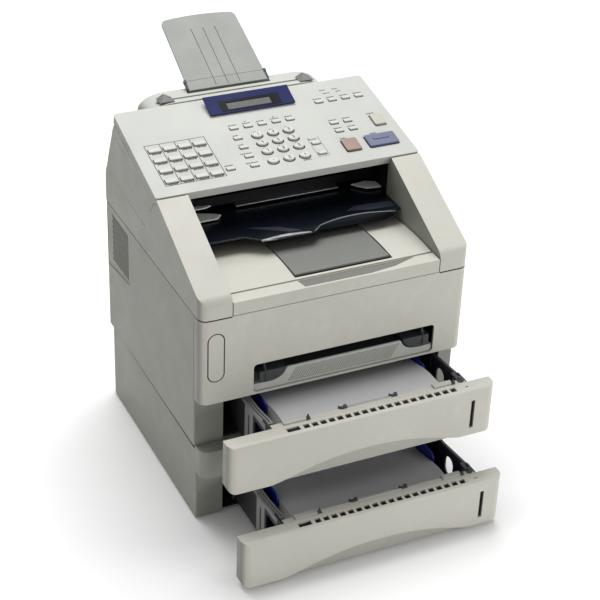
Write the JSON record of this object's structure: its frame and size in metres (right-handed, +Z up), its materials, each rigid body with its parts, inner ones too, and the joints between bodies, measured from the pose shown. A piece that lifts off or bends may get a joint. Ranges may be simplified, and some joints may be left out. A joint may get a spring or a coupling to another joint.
{
  "type": "fax machine",
  "caption": "Plain-paper laser fax machine with a sloping control panel, document feeder, output well and two part-open paper trays, one in a base unit.",
  "frame": {"origin": "middle of the bounding box at the feet's resting plane, both paper trays part way out", "axes": "+X to the machine's right seen from the front, -Y towards the user, +Z up"},
  "size_m": [0.36, 0.5824, 0.497],
  "materials": {
    "panel": "off-white moulded plastic, fine grain",
    "cover": "warm light grey moulded plastic, fine grain",
    "side": "grey moulded plastic, fine grain",
    "dark": "black moulded plastic",
    "smoked": "smoked dark blue-black plastic, glossy",
    "support": "mid grey moulded plastic",
    "bezel": "navy printed plastic, satin",
    "display": "grey-green liquid-crystal window",
    "key": "light grey key caps",
    "stop": "muted red-brown key cap",
    "start": "blue-violet key cap",
    "copy": "cream key cap",
    "steel": "plated sheet steel",
    "paper": "stack of plain white paper (wood pulp)",
    "guide": "deep blue moulded plastic",
    "roller": "dark rubber on a shaft",
    "board": "green printed circuit board"
  },
  "bodies": {
    "main_body": {"lower_unit_housing": "side", "lower_tray_runners": "steel", "left_side_cover": "side", "right_side_cover": "side", "rear_panel": "side", "chassis_frame": "dark", "upper_housing": "cover", "output_tray": "cover", "document_tray": "panel", "document_exit_tray": "smoked", "document_feed_frame": "dark", "toner_cartridge": "dark", "fuser_unit": "steel", "laser_scanner": "dark", "main_logic_board": "board", "power_inlet": "dark"},
    "upper_tray": {"upper_drawer_front": "cover", "upper_tray_body": "dark"},
    "upper_lift": {"upper_lift_plate": "steel", "upper_paper_stack": "paper"},
    "upper_guide_left": {"upper_paper_guide_left": "guide"},
    "upper_guide_right": {"upper_paper_guide_right": "guide"},
    "lower_tray": {"lower_drawer_front": "cover", "lower_tray_body": "dark"},
    "lower_lift": {"lower_lift_plate": "steel", "lower_paper_stack": "paper"},
    "lower_guide_left": {"lower_paper_guide_left": "guide"},
    "lower_guide_right": {"lower_paper_guide_right": "guide"},
    "front_door": {"front_cover": "cover", "blanking_plate": "cover", "manual_feed_platform": "side"},
    "manual_guide_l": {"manual_guide_left": "dark"},
    "manual_guide_r": {"manual_guide_right": "dark"},
    "rear_door": {"rear_cover": "side"},
    "exit_flap": {"output_tray_flap": "cover"},
    "panel_lid": {"control_panel": "panel", "display_bezel": "bezel", "display_window": "display", "function_key_mat": "key", "one_touch_key_mat": "key"},
    "original_support": {"document_support": "support"},
    "original_guide_l": {"document_guide_left": "dark"},
    "original_guide_r": {"document_guide_right": "dark"},
    "feed_roller": {"document_feed_roller": "roller"},
    "pickup_roller": {"paper_pickup_roller": "roller"},
    "key_0_cap": {"key_0": "key"},
    "key_1_cap": {"key_1": "key"},
    "key_2_cap": {"key_2": "key"},
    "key_3_cap": {"key_3": "key"},
    "key_4_cap": {"key_4": "key"},
    "key_5_cap": {"key_5": "key"},
    "key_6_cap": {"key_6": "key"},
    "key_7_cap": {"key_7": "key"},
    "key_8_cap": {"key_8": "key"},
    "key_9_cap": {"key_9": "key"},
    "key_star_cap": {"key_star": "key"},
    "key_hash_cap": {"key_hash": "key"},
    "stop_key_cap": {"stop_key": "stop"},
    "start_key_cap": {"start_key": "start"},
    "copy_key_cap": {"copy_key": "copy"}
  },
  "joints": [
    {"name": "upper_tray_slide", "type": "slide", "parent": "main_body", "child": "upper_tray", "axis": [0, -1, 0], "range_m": [-0.0905, 0.149]},
    {"name": "lower_tray_slide", "type": "slide", "parent": "main_body", "child": "lower_tray", "axis": [0, -1, 0], "range_m": [-0.132, 0.107]},
    {"name": "upper_lift_hinge", "type": "hinge", "parent": "upper_tray", "child": "upper_lift", "pos_m": [0.013, 0.06829, 0.147], "axis": [1, 0, 0], "range_deg": [0, 4], "stiffness_Nm_per_rad": 20, "springref_deg": -11.46},
    {"name": "lower_lift_hinge", "type": "hinge", "parent": "lower_tray", "child": "lower_lift", "pos_m": [0.013, 0.02679, 0.028], "axis": [1, 0, 0], "range_deg": [0, 2], "stiffness_Nm_per_rad": 20, "springref_deg": -11.46},
    {"name": "upper_guide_slide_left", "type": "slide", "parent": "upper_tray", "child": "upper_guide_left", "axis": [-1, 0, 0], "range_m": [0, 0.008]},
    {"name": "upper_guide_slide_right", "type": "slide", "parent": "upper_tray", "child": "upper_guide_right", "axis": [1, 0, 0], "range_m": [0, 0.008]},
    {"name": "lower_guide_slide_left", "type": "slide", "parent": "lower_tray", "child": "lower_guide_left", "axis": [-1, 0, 0], "range_m": [0, 0.008]},
    {"name": "lower_guide_slide_right", "type": "slide", "parent": "lower_tray", "child": "lower_guide_right", "axis": [1, 0, 0], "range_m": [0, 0.008]},
    {"name": "front_door_hinge", "type": "hinge", "parent": "main_body", "child": "front_door", "pos_m": [0, -0.14821, 0.1885], "axis": [1, 0, 0], "range_deg": [0, 60]},
    {"name": "manual_guide_slide_left", "type": "slide", "parent": "front_door", "child": "manual_guide_l", "axis": [1, 0, 0], "range_m": [0, 0.035]},
    {"name": "manual_guide_slide_right", "type": "slide", "parent": "front_door", "child": "manual_guide_r", "axis": [1, 0, 0], "range_m": [-0.035, 0]},
    {"name": "rear_door_hinge", "type": "hinge", "parent": "main_body", "child": "rear_door", "pos_m": [0, 0.18629, 0.1372], "axis": [-1, 0, 0], "range_deg": [0, 85]},
    {"name": "exit_flap_hinge", "type": "hinge", "parent": "main_body", "child": "exit_flap", "pos_m": [0.018, -0.04071, 0.3245], "axis": [-1, 0, 0], "range_deg": [0, 20]},
    {"name": "panel_lid_hinge", "type": "hinge", "parent": "main_body", "child": "panel_lid", "pos_m": [0, 0.15079, 0.44], "axis": [-1, 0, 0], "range_deg": [0, 50]},
    {"name": "original_support_hinge", "type": "hinge", "parent": "main_body", "child": "original_support", "pos_m": [-0.005, 0.17579, 0.4392], "axis": [1, 0, 0], "range_deg": [0, 60]},
    {"name": "original_guide_slide_left", "type": "slide", "parent": "main_body", "child": "original_guide_l", "axis": [1, 0, 0], "range_m": [0, 0.04]},
    {"name": "original_guide_slide_right", "type": "slide", "parent": "main_body", "child": "original_guide_r", "axis": [1, 0, 0], "range_m": [-0.04, 0]},
    {"name": "feed_roller_spin", "type": "hinge", "parent": "main_body", "child": "feed_roller", "pos_m": [0, 0.04929, 0.375], "axis": [1, 0, 0], "continuous": true},
    {"name": "pickup_roller_spin", "type": "hinge", "parent": "main_body", "child": "pickup_roller", "pos_m": [0.01, -0.08871, 0.1914], "axis": [1, 0, 0], "continuous": true},
    {"name": "key_0_press", "type": "slide", "parent": "panel_lid", "child": "key_0_cap", "axis": [0, 0.2326, -0.9726], "range_m": [0, 0.0015], "stiffness_N_per_m": 800},
    {"name": "key_1_press", "type": "slide", "parent": "panel_lid", "child": "key_1_cap", "axis": [0, 0.2326, -0.9726], "range_m": [0, 0.0015], "stiffness_N_per_m": 800},
    {"name": "key_2_press", "type": "slide", "parent": "panel_lid", "child": "key_2_cap", "axis": [0, 0.2326, -0.9726], "range_m": [0, 0.0015], "stiffness_N_per_m": 800},
    {"name": "key_3_press", "type": "slide", "parent": "panel_lid", "child": "key_3_cap", "axis": [0, 0.2326, -0.9726], "range_m": [0, 0.0015], "stiffness_N_per_m": 800},
    {"name": "key_4_press", "type": "slide", "parent": "panel_lid", "child": "key_4_cap", "axis": [0, 0.2326, -0.9726], "range_m": [0, 0.0015], "stiffness_N_per_m": 800},
    {"name": "key_5_press", "type": "slide", "parent": "panel_lid", "child": "key_5_cap", "axis": [0, 0.2326, -0.9726], "range_m": [0, 0.0015], "stiffness_N_per_m": 800},
    {"name": "key_6_press", "type": "slide", "parent": "panel_lid", "child": "key_6_cap", "axis": [0, 0.2326, -0.9726], "range_m": [0, 0.0015], "stiffness_N_per_m": 800},
    {"name": "key_7_press", "type": "slide", "parent": "panel_lid", "child": "key_7_cap", "axis": [0, 0.2326, -0.9726], "range_m": [0, 0.0015], "stiffness_N_per_m": 800},
    {"name": "key_8_press", "type": "slide", "parent": "panel_lid", "child": "key_8_cap", "axis": [0, 0.2326, -0.9726], "range_m": [0, 0.0015], "stiffness_N_per_m": 800},
    {"name": "key_9_press", "type": "slide", "parent": "panel_lid", "child": "key_9_cap", "axis": [0, 0.2326, -0.9726], "range_m": [0, 0.0015], "stiffness_N_per_m": 800},
    {"name": "key_star_press", "type": "slide", "parent": "panel_lid", "child": "key_star_cap", "axis": [0, 0.2326, -0.9726], "range_m": [0, 0.0015], "stiffness_N_per_m": 800},
    {"name": "key_hash_press", "type": "slide", "parent": "panel_lid", "child": "key_hash_cap", "axis": [0, 0.2326, -0.9726], "range_m": [0, 0.0015], "stiffness_N_per_m": 800},
    {"name": "stop_key_press", "type": "slide", "parent": "panel_lid", "child": "stop_key_cap", "axis": [0, 0.2326, -0.9726], "range_m": [0, 0.0015], "stiffness_N_per_m": 800},
    {"name": "start_key_press", "type": "slide", "parent": "panel_lid", "child": "start_key_cap", "axis": [0, 0.2326, -0.9726], "range_m": [0, 0.0015], "stiffness_N_per_m": 800},
    {"name": "copy_key_press", "type": "slide", "parent": "panel_lid", "child": "copy_key_cap", "axis": [0, 0.2326, -0.9726], "range_m": [0, 0.0015], "stiffness_N_per_m": 800}
  ],
  "couplings": [
    {"joint": "upper_guide_slide_right", "follows": "upper_guide_slide_left", "ratio": 1},
    {"joint": "lower_guide_slide_right", "follows": "lower_guide_slide_left", "ratio": 1},
    {"joint": "manual_guide_slide_right", "follows": "manual_guide_slide_left", "ratio": -1},
    {"joint": "original_guide_slide_right", "follows": "original_guide_slide_left", "ratio": -1}
  ]
}
